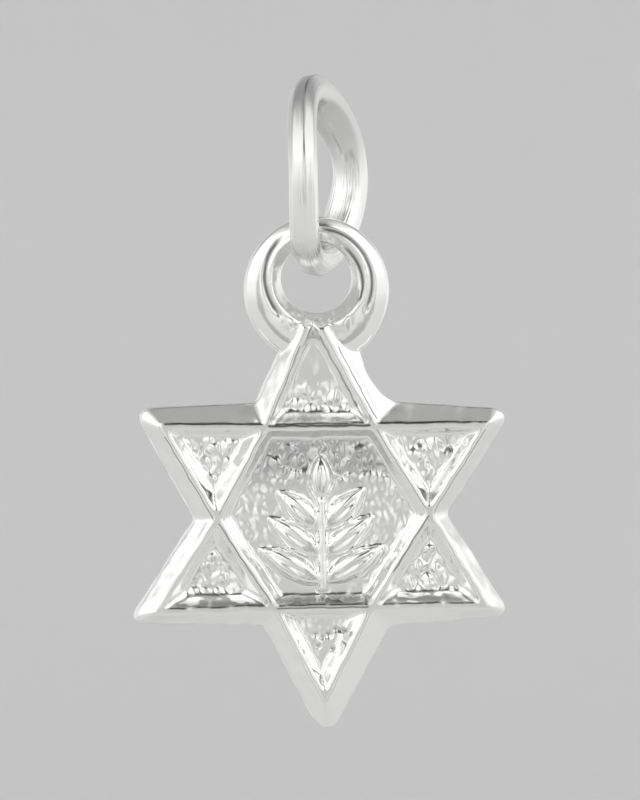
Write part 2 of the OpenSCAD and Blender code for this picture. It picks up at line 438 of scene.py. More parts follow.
def add_outline(line, depth, radii):
    """Adds one outline to the mesh that is edited, and rounds its corners."""
    bpy.ops.mesh.select_all(action="DESELECT")
    bpy.ops.mesh.primitive_circle_add(vertices=len(line), radius=1, fill_type="NGON")
    shape = bmesh.from_edit_mesh(bpy.context.object.data)
    face = next(f for f in shape.faces if f.select)
    for vertex, corner in zip(face.verts, line):
        vertex.co = (corner.x, depth, STAR_MID + corner.y)
    roundings = [(v.co.copy(), corner_run(line, i, radii[i])) for i, v in enumerate(face.verts)]
    bmesh.update_edit_mesh(bpy.context.object.data)
    for place, run in roundings:
        bpy.ops.mesh.select_all(action="DESELECT")
        shape = bmesh.from_edit_mesh(bpy.context.object.data)
        corner = min(shape.verts, key=lambda v: (v.co - place).length_squared)
        corner.select = True
        shape.select_flush(True)
        bpy.ops.mesh.bevel(offset=run, segments=ROUND_STEPS, affect="VERTICES", offset_type="OFFSET")


crest_edge = inset_line(crest_line, -CREST_W / 2)
print("Crests span", round(max(c.x for c in crest_edge) - min(c.x for c in crest_edge), 2), "mm")

# %% [markdown]
# ## The plate of the star
#
# The plate is what the mould gives before the cells: a flat back, an upright edge, and a bevel that rises
# to the crest of the bars. Three outlines are enough for it, where stacked blocks would need joining. Its
# sides are cut into smaller faces, so that the booleans to come leave no long thin ones.

# %% Loft the plate
FRONT, EDGE, BACK = -0.75, -0.15, 0.75
SIDE_CUTS = 5


def loft(name, outlines):
    """Bridges outlines, each a line with its depth and its radii, into one closed solid."""
    piece = add_mesh(name)
    bpy.ops.object.mode_set(mode="EDIT")
    for line, depth, radii in outlines:
        add_outline(line, depth, radii)
    bpy.ops.mesh.select_all(action="SELECT")
    bpy.ops.mesh.delete(type="ONLY_FACE")
    bpy.ops.mesh.select_all(action="SELECT")
    bpy.ops.mesh.bridge_edge_loops()
    bpy.ops.mesh.select_all(action="SELECT")
    bpy.ops.mesh.fill_holes(sides=0)
    bpy.ops.mesh.select_all(action="SELECT")
    bpy.ops.mesh.normals_make_consistent(inside=False)
    bpy.ops.object.mode_set(mode="OBJECT")
    return piece


edge_radii = [row[4] for row in CASTING]
crest_radii = [row[5] for row in CASTING]
star = loft("cast_star", [
    (edge_line, BACK, edge_radii),
    (edge_line, EDGE, edge_radii),
    (crest_edge, FRONT, crest_radii),
])
bpy.ops.object.mode_set(mode="EDIT")
bpy.ops.mesh.select_mode(type="FACE")
bpy.ops.mesh.select_all(action="DESELECT")
shape = bmesh.from_edit_mesh(star.data)
for face in shape.faces:
    face.select = len(face.verts) == 4
bmesh.update_edit_mesh(star.data)
bpy.ops.mesh.subdivide(number_cuts=SIDE_CUTS)
bpy.ops.object.mode_set(mode="OBJECT")
print("Plate faces:", len(star.data.polygons))

# %% [markdown]
# ## The ring on the top point
#
# The ring is cast in one with the star. A torus would be round in section, but this ring is flatter. So a
# ball is the start: its poles are turned to the front and the back, and it is pressed into a thick disc
# whose faces stay gently crowned and whose rim is round, as a tumbled ring's is. The hole comes later.

# %% Press the ring
RING_R, RING_T, RING_MID = 2.82, 1.32, -7.04
RING_CROWN = 4.5
ROUND_SIDES = 96
ACROSS_Y = (math.pi / 2, 0, 0)


def move_vertices(piece, new_place):
    """Moves each vertex of a piece in edit mode, to where new_place says for its x, y and z."""
    select_only(piece)
    bpy.ops.object.mode_set(mode="EDIT")
    shape = bmesh.from_edit_mesh(piece.data)
    for vertex in shape.verts:
        vertex.co = new_place(*vertex.co)
    bmesh.update_edit_mesh(piece.data)
    bpy.ops.object.mode_set(mode="OBJECT")


def apply_place(piece):
    select_only(piece)
    bpy.ops.object.transform_apply(location=True, rotation=True, scale=True)


def press_ring(x, y, z):
    from_middle = min(1.0, math.hypot(x, z))
    crown = math.sqrt(1 - from_middle ** RING_CROWN)
    return (x * RING_R, math.copysign(crown, y) * RING_T / 2, z * RING_R + RING_MID)


clear_selection()
bpy.ops.mesh.primitive_uv_sphere_add(
    segments=ROUND_SIDES, ring_count=ROUND_SIDES // 2, radius=1, rotation=ACROSS_Y
)
ring = bpy.context.object
ring.name = "ring"
apply_place(ring)
move_vertices(ring, press_ring)
print("Ring faces:", len(ring.data.polygons))

# %% [markdown]
# ## The sunk cells
#
# Six three-cornered cells and the hexagon between them are sunk between the bars, each with sloping walls.
# The carver held the tool anew for every wall, so each has a width of its own: the gentle ones catch the
# light as a band, and the steep ones show as a thin line. Each cell is modelled as a solid cutter, which a
# boolean takes out later. That keeps the plate whole, and a cell can be changed without the others.

# %% Loft the cells
CELL_FLOOR = -0.30
OVERRUN = 0.5  # how far a cutter stands out in front of what it cuts
MOUTH_R, FLOOR_R, VALLEY_R = 0.10, 0.22, 0.03
# The top cell has a round upper end, where a flat between the bars leads to the hole
APEX_MOUTH_R, APEX_FLOOR_R = 0.64, 0.40
# How wide the walls of each cell are, side by side, in mm; the hexagon's come last
WALLS = [
    (0.24, 0.18, 0.38),
    (0.18, 0.18, 0.42),
    (0.18, 0.34, 0.38),
    (0.34, 0.46, 0.36),
    (0.26, 0.40, 0.18),
    (0.45, 0.22, 0.30),
    (0.26, 0.30, 0.26, 0.34, 0.36, 0.28),
]
TOP_CELL = 1

cells = [[crest_line[k - 1], crest_line[k], crest_line[(k + 1) % 12]] for k in range(1, 12, 2)]
cells.append(crest_line[::2])
cutters, floors = [], []
for which, (line, walls) in enumerate(zip(cells, WALLS)):
    mouth = inset_line(line, CREST_W / 2)
    floor = inset_line(line, [CREST_W / 2 + wall for wall in walls])
    floors.append(floor)
    lowest = min(line, key=lambda corner: corner.y)
    points_down = sorted(corner.y for corner in line)[1] - lowest.y > 1
    mouth_radii = [MOUTH_R] * len(line)
    floor_radii = [VALLEY_R if points_down and corner == lowest else FLOOR_R for corner in line]
    if which == TOP_CELL:
        mouth_radii[1], floor_radii[1] = APEX_MOUTH_R, APEX_FLOOR_R
    cutters.append(loft("cell", [
        (mouth, FRONT - OVERRUN, mouth_radii),
        (mouth, FRONT, mouth_radii),
        (floor, CELL_FLOOR, floor_radii),
    ]))
print("Cells:", len(cutters))

# %% [markdown]
# ## The ring's hole
#
# The hole opens towards both faces, and only a narrow band in its middle is straight. A drill alone would
# leave a sharp straight hole, so two cones are set against each other with a short cylinder through both.

# %% Drill the hole
HOLE_R, HOLE_MID = 1.37, -6.57
FLARE = 0.50
HOLE_LAND = 0.08

half_ring = RING_T / 2
cone_reach = half_ring + OVERRUN
for side in (-1, 1):
    clear_selection()
    bpy.ops.mesh.primitive_cone_add(
        vertices=ROUND_SIDES,
        radius1=HOLE_R,
        radius2=HOLE_R + FLARE * (cone_reach - HOLE_LAND) / (half_ring - HOLE_LAND),
        depth=cone_reach - HOLE_LAND,
        location=(0, side * (cone_reach + HOLE_LAND) / 2, HOLE_MID),
        rotation=(-side * math.pi / 2, 0, 0),
    )
    cutters.append(bpy.context.object)
clear_selection()
bpy.ops.mesh.primitive_cylinder_add(
    vertices=ROUND_SIDES, radius=HOLE_R, depth=4 * HOLE_LAND, location=(0, 0, HOLE_MID), rotation=ACROSS_Y
)
cutters.append(bpy.context.object)
for cutter in cutters:
    apply_place(cutter)
print("Cutters:", len(cutters))

# %% Join the ring to the plate and cut the cells
def apply_modifier(piece, kind, **settings):
    """Adds a modifier to a piece, sets it up and applies it."""
    select_only(piece)
    bpy.ops.object.modifier_add(type=kind)
    modifier = piece.modifiers[-1]
    for name, value in settings.items():
        setattr(modifier, name, value)
    bpy.ops.object.modifier_apply(modifier=modifier.name)


def delete(piece):
    select_only(piece)
    bpy.ops.object.delete()


apply_modifier(star, "BOOLEAN", object=ring, operation="UNION", solver="EXACT")
delete(ring)
for cutter in cutters:
    apply_modifier(star, "BOOLEAN", object=cutter, operation="DIFFERENCE", solver="EXACT")
    delete(cutter)
print("Casting faces:", len(star.data.polygons))

# %% [markdown]
# ## The leafy sprig
#
# A sprig stands out of the hexagon's floor. It could be traced as a flat shape and raised, but leaves are
# full in the middle and thin at the edge. So one leaf is modelled: a ball pressed flat, drawn out to a
# point, with a groove pressed along its middle. The others are copies of it, each turned to its own lean
# and set on the stem.

# %% Model one leaf
BALL_R, BALL_SIDES, BALL_RINGS = 0.5, 32, 24
LEAF_L, LEAF_W = 2.8, 0.98
LEAF_OUT = 0.38
LEAF_BELLY = 0.25
EDGE_CURVE, BACK_CURVE = 0.9, 0.7
VEIN_W, VEIN_DEEP = 0.12, 0.22


def press_leaf(x, y, z):
    along = z + BALL_R
    wide = math.sin(math.pi * min(1.0, along)) ** EDGE_CURVE
    spread = math.sqrt(max(1e-6, BALL_R ** 2 - z * z)) * 2
    belly = 1.0 + LEAF_BELLY * (BALL_R - along)
    vein = math.exp(-(x * LEAF_W / VEIN_W) ** 2) if y < 0 else 0.0
    return (
        x / spread * wide * LEAF_W * belly,
        y / spread * wide ** BACK_CURVE * 2 * LEAF_OUT * (1 - VEIN_DEEP * vein),
        along * LEAF_L,
    )


clear_selection()
bpy.ops.mesh.primitive_uv_sphere_add(segments=BALL_SIDES, ring_count=BALL_RINGS, radius=BALL_R)
leaf = bpy.context.object
leaf.name = "leaf"
move_vertices(leaf, press_leaf)
print("Leaf:", [round(d, 2) for d in leaf.dimensions], "mm")

# %% Set the leaves on the stem
SPRIG_H = 5.3
SPRIG_FOOT = STAR_MID - 0.54 * SPRIG_H  # a little more than half of it is below the middle
STEM_W, STEM_STRETCH, STEM_SIDES = 0.36, 1.7, 24
TOP_LEAF = 0.7
STEM_CLEAR = 0.9  # how much of the top leaf stands clear of the stem
LEAF_BASE, LEAF_GAIN = 0.72, 0.28  # how wide a leaf of no length would be, and what its length adds
# Each pair of leaves: how far up the stem, how long, and how far it leans to its side in degrees
LEAF_PAIRS = [(0.08, 1.0, 60), (0.365, 0.915, 53), (0.65, 0.83, 46)]


def copy_leaf(length, lean, height):
    select_only(leaf)
    bpy.ops.object.duplicate(linked=False)
    made = bpy.context.object
    made.scale = (LEAF_BASE + LEAF_GAIN * length, 1, length)
    made.rotation_euler = (0, math.radians(lean), 0)
    made.location = (0, CELL_FLOOR, SPRIG_FOOT + height)
    apply_place(made)
    return made


stem_h = SPRIG_H - STEM_CLEAR * TOP_LEAF * LEAF_L
sprig = [copy_leaf(TOP_LEAF, 0, SPRIG_H - TOP_LEAF * LEAF_L)]
for up, length, lean in LEAF_PAIRS:
    for side in (-1, 1):
        sprig.append(copy_leaf(length, side * lean, up * stem_h))
clear_selection()
bpy.ops.mesh.primitive_cylinder_add(vertices=STEM_SIDES, radius=STEM_W / 2, depth=stem_h)
stem = bpy.context.object
stem.scale = (1, STEM_STRETCH, 1)
stem.location = (0, CELL_FLOOR, SPRIG_FOOT + stem_h / 2)
apply_place(stem)
sprig.append(stem)
delete(leaf)
print("Sprig pieces:", len(sprig))

# %% [markdown]
# ## One skin over the casting
#
# A casting has no sharp edges: the wax, the metal and the tumbling barrel round every one of them. A bevel
# would need each edge picked out, and it fails where leaves and walls cross. So the parts are joined, and a
# voxel remesh draws one even skin over them. A few passes of smoothing then round each edge by about a
# tenth of a millimetre, which is what turns an edge into the thin line of light or dark that polished metal
# shows.

# %% Remesh and smooth the casting
VOXEL = 0.055
EDGE_PASSES = 4


def soften(piece, passes, group=""):
    """Smooths a piece, or only what a group of its vertices weighs."""
    apply_modifier(piece, "SMOOTH", factor=0.5, iterations=passes, vertex_group=group)


select_only(star)
for part in sprig:
    part.select_set(True)
bpy.ops.object.join()
apply_modifier(star, "REMESH", mode="VOXEL", voxel_size=VOXEL)
soften(star, EDGE_PASSES)
print("Skin faces:", len(star.data.polygons))

# %% [markdown]
# ## Where the skin is rough
#
# The tumbling barrel could not reach the floors of the cells, so they keep the pebbled skin of the mould,
# while the bars are smooth. A bump in the material would look flat at the edges, so the pebbles are real
# relief. Each vertex gets a weight that says how much of a roughness it has, worked out from its place: how
# far it lies inside the outline of its cell, and how deep. Modifiers read those weights later.

# %% Helpers for weights
HALF_WAY = (0.1, -0.1)  # where the front half of the casting fades in, from back to front


def cell_depth(points, line):
    """How far points lie inside a convex outline that runs anticlockwise, in mm; negative outside."""
    inside = np.full(len(points), np.inf)
    for i, corner in enumerate(line):
        along = (line[(i + 1) % len(line)] - corner).normalized()
        gap = points - np.array(corner)
        inside = np.minimum(inside, along.x * gap[:, 1] - along.y * gap[:, 0])
    return inside


def smooth_step(low, high, value):
    """Rises softly from 0 at low to 1 at high; low may be the larger of the two."""
    share = np.clip((value - low) / (high - low), 0, 1)
    return share * share * (3 - 2 * share)


def mound(points, right, up, reach):
    """1 at a place and fading round it, by the distance in the star's plane."""
    away = np.hypot(points[:, 0] - right, points[:, 1] - up)
    return np.exp(-(away / reach) ** 2)


def give_weights(piece, name, weights, least=0.004):
    group = piece.vertex_groups.new(name=name)
    for index in np.nonzero(weights > least)[0]:
        group.add([int(index)], float(weights[index]), "REPLACE")


def vertex_places(piece):
    found = np.empty(len(piece.data.vertices) * 3)
    piece.data.vertices.foreach_get("co", found)
    return found.reshape(-1, 3)


def in_star_plane(points):
    """Right and up of points, from the star's middle."""
    return np.stack([points[:, 0], points[:, 2] - STAR_MID], axis=1)


spots = vertex_places(star)
flat = in_star_plane(spots)
front_half = smooth_step(*HALF_WAY, spots[:, 1])
print("Vertices in the front half:", int((front_half > 0.5).sum()), "of", len(spots))

# %% Weigh the feet of the walls
# How far inside the outline the feet of the walls start and end, and how far down in front
FOOT_START, FOOT_END = (0.10, 0.24), (0.95, 0.75)
BELOW_FRONT = (FRONT + 0.08, FRONT + 0.24)
# The lowest corner of each cell stays sharper than the rest
SHARP_REACH, SHARP = 0.25, 0.8

hollow = np.zeros(len(spots))
for line, foot in zip(cells, floors):
    inside = cell_depth(flat, line)
    lowest = min(foot, key=lambda corner: corner.y)
    from_lowest = ((flat - np.array(lowest)) ** 2).sum(axis=1)
    blunt = 1 - SHARP * np.exp(-from_lowest / SHARP_REACH ** 2)
    hollow = np.maximum(hollow, smooth_step(*FOOT_START, inside) * smooth_step(*FOOT_END, inside) * blunt)
hollow *= smooth_step(*BELOW_FRONT, spots[:, 1]) * front_half
give_weights(star, "hollow", hollow)
print("Vertices at the feet:", int((hollow > 0.5).sum()))

# %% Weigh the pebbles
# The pebbles of each cell: how strong they are, and the height above the star's middle where they stop
NO_STOP = 99
PEBBLES = [(0.9, NO_STOP), (0.9, 5.15), (0.9, NO_STOP), (0.9, NO_STOP), (0.35, NO_STOP), (0.9, NO_STOP)]
STOP_SOFT = 0.2
PEBBLES_START, HEXAGON_START = (-0.08, 0.22), (-0.02, 0.20)
FLOOR_NEAR = (0.26, 0.12)
# The hexagon is pebbled along its top, and faintly elsewhere, more so towards its left and right corners
STRIP_START = (1.15, 1.60)
FAINT, FAINT_MORE, FAINT_SIDES = 0.20, 0.25, (1.2, 2.4)
# Lumps of metal at the lower edge of the ring's hole: right, up and reach, in mm
LUMPS = [(-0.95, -8.30, 0.34), (0.70, -8.25, 0.46)]
LUMP_STRENGTH = 0.9

at_floor = smooth_step(*FLOOR_NEAR, np.abs(spots[:, 1] - CELL_FLOOR)) * front_half
pebbled = np.zeros(len(spots))
for foot, (strength, stop) in zip(floors, PEBBLES):
    below_stop = smooth_step(stop + STOP_SOFT, stop - STOP_SOFT, flat[:, 1])
    there = smooth_step(*PEBBLES_START, cell_depth(flat, foot)) * below_stop
    pebbled = np.maximum(pebbled, strength * there)
in_hexagon = smooth_step(*HEXAGON_START, cell_depth(flat, floors[-1]))
top_strip = in_hexagon * smooth_step(*STRIP_START, flat[:, 1])
elsewhere = in_hexagon * (FAINT + FAINT_MORE * smooth_step(*FAINT_SIDES, np.abs(flat[:, 0])))
pebbled = np.maximum(pebbled, np.maximum(top_strip, elsewhere)) * at_floor
for right, up, reach in LUMPS:
    lump = mound(spots[:, [0, 2]], right, up, reach)
    pebbled = np.maximum(pebbled, LUMP_STRENGTH * lump * front_half)
give_weights(star, "pebbled", pebbled)
print("Pebbled vertices:", int((pebbled > 0.5).sum()))

# %% Weigh the carver's hand
# The two slopes along the top of the star were filed smooth: where they start in height, and to the sides
FILED_UP, FILED_ASIDE = (3.45, 3.75), (1.9, 2.5)
FILED_EVEN, FILED_STRAIGHT = 0.75, 0.5
BACK_UNEVEN = 0.3
UNEVEN_DEPTH = (0.45, 0.0)
CARVED_BELOW = (-8.5, -9.4)  # the ring above was turned, not carved

filed = smooth_step(*FILED_UP, flat[:, 1]) * smooth_step(*FILED_ASIDE, np.abs(flat[:, 0]))
towards_front = BACK_UNEVEN + (1 - BACK_UNEVEN) * smooth_step(*UNEVEN_DEPTH, spots[:, 1])
give_weights(star, "uneven", towards_front * (1 - FILED_EVEN * filed))
give_weights(star, "carved", smooth_step(*CARVED_BELOW, spots[:, 2]) * (1 - FILED_STRAIGHT * filed))
print("Filed vertices:", int((filed > 0.5).sum()))

# %% [markdown]
# ## Raising the skin
#
# First the feet of the walls are smoothed, because the mould's corners are hollow there. Cell noise then
# gives the round pebbles, and two sizes of clouds keep them from looking alike. The whole casting is a
# little uneven, and its carved lines waver sideways and up and down. A displace modifier does each of
# these, and its weights keep it in its place.

# %% Raise the pebbles
FOOT_PASSES, PEBBLE_PASSES = 9, 2


def displace(piece, kind, size, strength, group, middle=0.5, direction="NORMAL", **settings):
    """Moves the skin by a texture. The size of its grains and the strength are in mm."""
    texture = bpy.data.textures.new(kind.lower(), kind)
    texture.noise_scale = size
    for name, value in settings.items():
        setattr(texture, name, value)
    apply_modifier(
        piece,
        "DISPLACE",
        texture=texture,
        texture_coords="LOCAL",
        direction=direction,
        strength=strength,
        mid_level=middle,
        vertex_group=group,
    )


soften(star, FOOT_PASSES, "hollow")
displace(star, "VORONOI", 0.46, -0.11, "pebbled", middle=0.35, distance_metric="DISTANCE")
displace(star, "CLOUDS", 0.24, 0.06, "pebbled", noise_depth=1)
displace(star, "CLOUDS", 0.60, 0.09, "pebbled", noise_depth=1)
soften(star, PEBBLE_PASSES, "pebbled")
displace(star, "CLOUDS", 1.1, 0.045, "uneven", noise_depth=1)
displace(star, "CLOUDS", 0.4, 0.012, "uneven", noise_depth=1)
displace(star, "CLOUDS", 1.0, 0.10, "carved", direction="X", noise_depth=1)
displace(star, "CLOUDS", 0.9, 0.11, "carved", direction="Z", noise_depth=1)
print("Furthest move:", round(float(np.abs(vertex_places(star) - spots).max()), 2), "mm")

# %% [markdown]
# ## Pits, grooves and the flat
#
# A few marks are too fine for the cutters: pits in the lowest cell, where the metal did not fill the mould,
# a flat between the two bars above the top cell, and grooves beside the ring's hole. Each would be a
# sculptor's stroke. Here every stroke is a soft shape round a place, a line or an arc, and the skin is
# pushed in by it.

# %% Press the pits and the flat
# Pits in the lowest cell, from the star's middle: right, up and reach, in mm
PITS = [
    (-0.30, -4.53, 0.08),
    (-0.02, -4.66, 0.06),
    (0.20, -4.55, 0.11),
    (0.47, -4.36, 0.09),
    (0.63, -4.40, 0.06),
    (0.80, -4.44, 0.10),
    (1.01, -4.53, 0.07),
    (-0.20, -4.98, 0.07),
    (0.36, -5.13, 0.09),
]
PIT_DEEP = 1.0  # depth of a pit as a share of its reach
# Where the sides of the top point are a little fuller or leaner: right, up, reach and push to the right
CARVED_SIDES = [(1.80, -9.15, 0.55, 0.12), (2.10, -10.30, 0.60, -0.12)]
# The flat between the bars: how deep at its foot and at the hole, and between which heights it deepens
FLAT_FOOT, FLAT_TOP, FLAT_RISE = 0.09, 0.17, (6.5, 7.5)
FLAT_INSIDE, FLAT_START, FLAT_FRONT = (0.02, 0.14), (6.25, 6.6), (-0.45, -0.65)

spots = vertex_places(star)
flat = in_star_plane(spots)
facing = smooth_step(0.2, 0.0, spots[:, 1])
pits = np.zeros(len(spots))
for right, up, reach in PITS:
    pit = mound(flat, right, up, reach) * facing
    spots[:, 1] += pit * PIT_DEEP * reach
    pits = np.maximum(pits, pit)
for right, up, reach, push in CARVED_SIDES:
    spots[:, 0] += push * mound(spots[:, [0, 2]], right, up, reach)
between_bars = smooth_step(*FLAT_INSIDE, cell_depth(flat, inset_line(cells[TOP_CELL], CREST_W / 2)))
flat_area = between_bars * smooth_step(*FLAT_START, flat[:, 1]) * smooth_step(*FLAT_FRONT, spots[:, 1])
spots[:, 1] += (FLAT_FOOT + (FLAT_TOP - FLAT_FOOT) * smooth_step(*FLAT_RISE, flat[:, 1])) * flat_area
print("Deepest pit:", PIT_DEEP * max(reach for _, _, reach in PITS), "mm")

# %% Press the grooves
# Grooves beside the ring's hole, in degrees and mm: from and to which angle, the height of their middle, how
# far from it they lie, how wide and how deep they are
GROOVES = [
    (129, 226, -6.57, 2.05, 0.08, 0.10),
    (-30, 58, -6.80, 1.73, 0.07, 0.06),
    (-32, 92, -6.80, 2.09, 0.07, 0.08),
]
GROOVE_OUT, GROOVE_IN = 4, 14  # how far beyond its end a groove fades out, and from where before it
GROOVE_FRONT = (-0.1, -0.4)

grooved = np.zeros(len(spots))
for start, end, mid, radius, wide, groove_deep in GROOVES:
    away = np.hypot(spots[:, 0], spots[:, 2] - mid)
    angle = np.degrees(np.arctan2(spots[:, 2] - mid, spots[:, 0]))
    off_middle = np.abs((angle - (start + end) / 2 + 180) % 360 - 180)
    half_arc = (end - start) / 2
    along = smooth_step(half_arc + GROOVE_OUT, half_arc - GROOVE_IN, off_middle)
    along = along * smooth_step(*GROOVE_FRONT, spots[:, 1])
    groove = along * np.exp(-((away - radius) / wide) ** 2)
    spots[:, 1] += groove_deep * groove
    grooved = np.maximum(grooved, groove)
star.data.vertices.foreach_set("co", spots.ravel())
star.data.update()
print("Grooved vertices:", int((grooved > 0.5).sum()))

# %% [markdown]
# ## Painted shade
#
# Shade is painted into the colour of the silver: in the grooves beside the ring's hole, as the shade of the
# hollows and of the bail above them, in the pits, and along the top strip of the hexagon under its bar. The
# flat is made a little darker towards the ring as well. It could be painted on a map, but the same soft
# shapes that pressed the marks already say where it is. So the amount is kept as a number at each vertex,
# which the finish reads later.

# %% Mark the painted shade
# How dark the painted shade is in the grooves, in the pits and on the hexagon's top strip, and how much
# darker the flat gets
GROOVE_PAINTED_SHADE, PIT_PAINTED_SHADE, STRIP_PAINTED_SHADE, FLAT_DARK = 0.88, 0.6, 0.36, 0.35
STRIP_FADE, FLAT_FADE = (0.8, 2.1), (6.5, 6.8)


# Keeps the painted shade of each vertex, for the finish to read
def keep_painted_shade(piece, amounts):
    piece.data.attributes.new("painted_shade", "FLOAT", "POINT")
    piece.data.attributes["painted_shade"].data.foreach_set("value", amounts.astype(np.float32))


# Painted shade in the grooves, the pits and the hexagon's strip under its top bar; the flat darker towards
# the ring
strip_painted_shade = STRIP_PAINTED_SHADE * in_hexagon * smooth_step(*STRIP_FADE, flat[:, 1]) * at_floor
flat_dark = FLAT_DARK * flat_area * smooth_step(*FLAT_FADE, flat[:, 1])
painted_shade = np.max([GROOVE_PAINTED_SHADE * grooved, PIT_PAINTED_SHADE * pits, strip_painted_shade, flat_dark], axis=0)
keep_painted_shade(star, painted_shade)
print("Tarnished vertices:", int((painted_shade > 0.2).sum()))

# %% [markdown]
# ## Fewer faces where nothing shows
#
# The skin has the same fine faces everywhere, but the back and the upright edge are nearly flat. Thinning
# the whole piece would blur the pebbles. So only the faces behind the front bevel are selected, by their
# place, and thinned, and the piece stays light.

# %% Thin the back and the edge
THIN_TO = 0.14
THIN_BEHIND = EDGE + 0.12
RING_THIN_BEHIND = 0.25
RING_FOOT = RING_MID - RING_R + 0.6

select_only(star)
bpy.ops.object.mode_set(mode="EDIT")
bpy.ops.mesh.select_mode(type="FACE")
bpy.ops.mesh.select_all(action="DESELECT")
shape = bmesh.from_edit_mesh(star.data)
for face in shape.faces:
    middle = face.calc_center_median()
    face.select = middle.y > (RING_THIN_BEHIND if middle.z > RING_FOOT else THIN_BEHIND)
bmesh.update_edit_mesh(star.data)
bpy.ops.mesh.decimate(ratio=THIN_TO)
bpy.ops.object.mode_set(mode="OBJECT")
star.data.calc_loop_triangles()
print("Triangles:", len(star.data.loop_triangles))
print("Star:", [round(d, 2) for d in star.dimensions], "mm")

# %% [markdown]
# ## The bail
#
# The bail is one round wire bent into a loop and soldered, and it hangs through the ring turned a little
# from square. A curve with a round bevel would give a plain wire, but this one is worn and swells here and
# there. A torus already has the right faces, one ring of vertices after another along the wire, so each
# ring is carried to its place on the real loop, which is slightly taller than deep and bows to the right.
# The wire was drawn through a plate and has worn on its chain, so it keeps a few shallow flats and one
# ridge along its length.

# %% Describe the wire
BAIL_HALF_H, BAIL_HALF_D = 3.25, 3.2
WIRE_R, WIRE_SWELL = 0.60, 0.18
BAIL_BOW = 0.54
BAIL_TURN = math.radians(-90 - 24)
# Flats along the wire: where they lie round it, how wide in degrees, how deep in mm; the first is a ridge
FLATS = [
    (17, 9, -0.034),
    (-9, 9, 0.012),
    (46, 9, 0.014),
    (96, 14, 0.020),
    (150, 12, 0.012),
    (205, 16, 0.020),
    (262, 12, 0.014),
    (310, 10, 0.018),
]
FLAT_SWAY = 4
# Where the wire is thicker: how far round the loop, over what length, on which side of the wire, and how much
SWELLS = [(-30, 36, -135, 0.42), (-115, 24, -90, 0.24)]


def wire_centre(t):
    """The middle of the wire at the angle t round the loop, from its top."""
    return Vector((
        BAIL_HALF_D * math.sin(t),
        BAIL_BOW * math.sin(t) ** 2,
        WIRE_R - BAIL_HALF_H * (1 - math.cos(t)),
    ))


def wire_way(t):
    """The direction in which the wire runs there."""
    return Vector((
        BAIL_HALF_D * math.cos(t),
        BAIL_BOW * math.sin(2 * t),
        -BAIL_HALF_H * math.sin(t),
    )).normalized()


def angle_off(angle, middle):
    return (angle - middle + 180) % 360 - 180


def flat_depth(s, t):
    """How much is worn off at the angle s round the wire."""
    worn = 0.0
    for i, (middle, width, depth) in enumerate(FLATS):
        off = angle_off(math.degrees(s) - middle, FLAT_SWAY * math.sin(t + i))
        worn += depth * math.exp(-(off / width) ** 2)
    return worn


def swelling(s, t):
    """How much thicker the wire is there than elsewhere."""
    more = 0.0
    for middle, length, side, amount in SWELLS:
        along = math.exp(-(angle_off(math.degrees(t), middle) / length) ** 2)
        more += amount * along * max(0.0, math.cos(s - math.radians(side))) ** 2
    return more


loop_size = [round(2 * (half + WIRE_R), 2) for half in (BAIL_HALF_D, BAIL_HALF_H)]
print("Loop before its turn:", loop_size, "mm")

# %% Bend the wire
WIRE_RINGS, WIRE_SIDES = 224, 48
TORUS_R = 3

turned = Matrix.Rotation(BAIL_TURN, 3, "Z")


def bend_wire(x, y, z):
    t = math.atan2(y, x)
    s = math.atan2(z, math.hypot(x, y) - TORUS_R)
    way = wire_way(t)
    across = (Vector((0, 1, 0)) - way.y * way).normalized()
    outward = way.cross(across)
    thick = WIRE_R - WIRE_SWELL / 4 * math.sin(t) - flat_depth(s, t) + swelling(s, t)
    return turned @ (wire_centre(t) + thick * (math.cos(s) * outward + math.sin(s) * across))


clear_selection()
bpy.ops.mesh.primitive_torus_add(
    major_radius=TORUS_R, minor_radius=WIRE_R, major_segments=WIRE_RINGS, minor_segments=WIRE_SIDES
)
bail = bpy.context.object
bail.name = "wire_bail"
move_vertices(bail, bend_wire)
# The faces are turned outwards in an edit mode of its own, which knows the bent shape
bpy.ops.object.mode_set(mode="EDIT")
bpy.ops.mesh.select_all(action="SELECT")
bpy.ops.mesh.normals_make_consistent(inside=False)
bpy.ops.object.mode_set(mode="OBJECT")
print("Bail faces:", len(bail.data.polygons), "size", [round(d, 2) for d in bail.dimensions], "mm")

# %% Paint shade on the bail at its top and foot
# Painted shade: the top is darkened as it reflects the grey overhead, and the foot where it hangs in the
# ring's hole
TOP_PAINTED_SHADE, TOP_HEIGHTS = 0.30, (-3.0, -0.8)
FOOT_PAINTED_SHADE, FOOT_HEIGHTS = 0.20, (-4.8, -5.8)

heights = vertex_places(bail)[:, 2]
bail_painted_shade = TOP_PAINTED_SHADE * smooth_step(*TOP_HEIGHTS, heights) + FOOT_PAINTED_SHADE * smooth_step(*FOOT_HEIGHTS, heights)
keep_painted_shade(bail, bail_painted_shade)
print("Dull share of the bail:", round(float(bail_painted_shade.mean()), 2))

# %% Bring both pieces to metres
for piece in (star, bail):
    piece.scale = (MM, MM, MM)
    apply_place(piece)
    bpy.ops.object.shade_smooth()
    print(piece.name, [round(d / MM, 2) for d in piece.dimensions], "mm", len(piece.data.polygons), "faces")

# %% [markdown]
# ## Painted dark lines
#
# Along the crests of the bars thin dark lines are painted into the colour as dark reflections, and wider
# faint bands of painted shade lie on some of the walls. They could be painted, but each follows a straight
# line between two corners of the crest. So one node group draws such a line: it measures how far a point of
# the surface lies from the line and turns that into a mask. The group is then placed once for each line with
# its own ends.

# %% Make the node group of a line
def new_group(name, inputs, outputs):
    """A node group with named sockets, with what it is given and the node that takes its results."""
    group = bpy.data.node_groups.new(name, "ShaderNodeTree")
    for way, sockets in (("INPUT", inputs), ("OUTPUT", outputs)):
        for title, kind in sockets.items():
            group.interface.new_socket(name=title, in_out=way, socket_type="NodeSocket" + kind)
    given = node(group, "NodeGroupInput", (-1000, 0))
    return group, given.outputs, node(group, "NodeGroupOutput", (800, 0))


